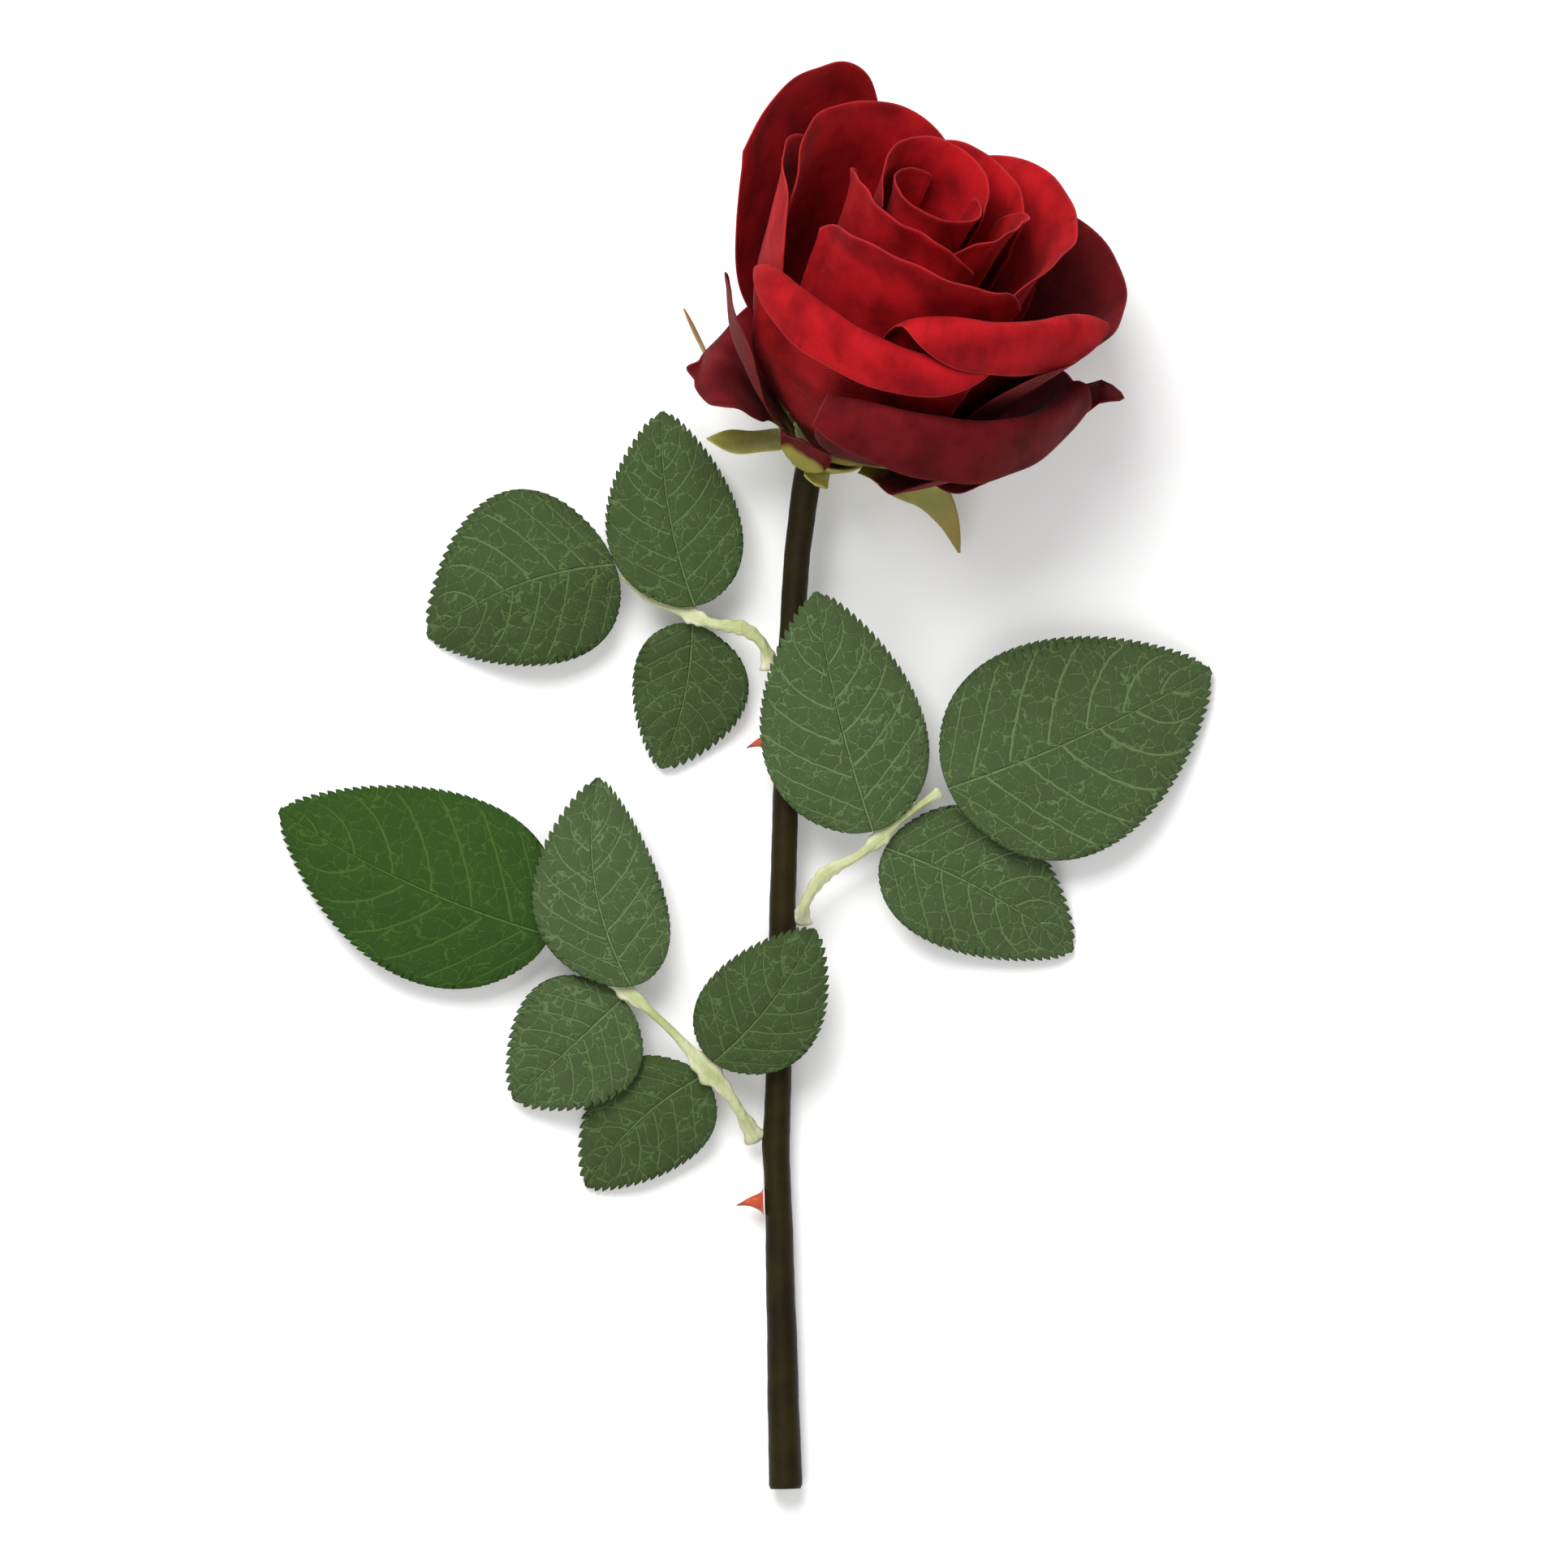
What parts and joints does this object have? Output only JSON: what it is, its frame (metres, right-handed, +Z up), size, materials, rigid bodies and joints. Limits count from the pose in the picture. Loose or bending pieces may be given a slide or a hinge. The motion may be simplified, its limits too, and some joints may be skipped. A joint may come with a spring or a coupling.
{
  "type": "artificial cut rose",
  "caption": "Artificial cut rose lying on a table: red fabric bloom with rolled outer petals, olive moulded stem, toothed fabric leaflets on pale petioles and orange-red thorns.",
  "frame": {"origin": "middle of the footprint on the table the rose lies on", "axes": "+Y runs along the stem from its cut end to the bloom, +Z up, +X to the right of the stem seen from above"},
  "size_m": [0.2428, 0.369, 0.101],
  "materials": {
    "petal_fabric": "dyed woven polyester petals, satin, with paler fuzzy cut edges",
    "leaf_fabric": "woven polyester leaflets printed with pale veins, toothed cut edges",
    "calyx_plastic": "soft yellow-green plastic with brownish tips",
    "core_plastic": "plain pale green moulded plastic, hidden by the petals",
    "stem_plastic": "olive brown moulded plastic, satin, darker and greener near the bloom",
    "petiole_plastic": "pale yellow-green moulded plastic with thin whitish wings",
    "thorn_plastic": "orange-red moulded plastic",
    "wire_steel": "plain drawn steel wire, seen only at the cut end"
  },
  "bodies": {
    "root": {"bloom_core": "core_plastic", "calyx": "calyx_plastic", "leaflet_lower_1": "leaf_fabric", "leaflet_lower_2": "leaf_fabric", "leaflet_lower_3": "leaf_fabric", "leaflet_lower_4": "leaf_fabric", "leaflet_lower_5": "leaf_fabric", "leaflet_right_1": "leaf_fabric", "leaflet_right_2": "leaf_fabric", "leaflet_right_3": "leaf_fabric", "leaflet_upper_1": "leaf_fabric", "leaflet_upper_2": "leaf_fabric", "leaflet_upper_3": "leaf_fabric", "petal_bud_back": "petal_fabric", "petal_bud_centre": "petal_fabric", "petal_bud_front": "petal_fabric", "petal_cup_back": "petal_fabric", "petal_cup_front": "petal_fabric", "petal_cup_left": "petal_fabric", "petal_cup_right": "petal_fabric", "petal_inner_back": "petal_fabric", "petal_inner_front": "petal_fabric", "petal_inner_right": "petal_fabric", "petal_outer_back": "petal_fabric", "petal_outer_front_right": "petal_fabric", "petal_outer_left": "petal_fabric", "petal_outer_left_back": "petal_fabric", "petal_outer_right": "petal_fabric", "petal_outer_small": "petal_fabric", "petal_outer_under_right": "petal_fabric", "petal_rolled_front_left": "petal_fabric", "petal_rolled_front_right": "petal_fabric", "petal_rolled_left": "petal_fabric", "petal_tall_back": "petal_fabric", "petal_tall_left": "petal_fabric", "petal_wide_right": "petal_fabric", "petiole_lower": "petiole_plastic", "petiole_right": "petiole_plastic", "petiole_upper": "petiole_plastic", "stem": "stem_plastic", "stem_wire": "wire_steel", "thorn_1": "thorn_plastic", "thorn_2": "thorn_plastic"}
  },
  "joints": []
}
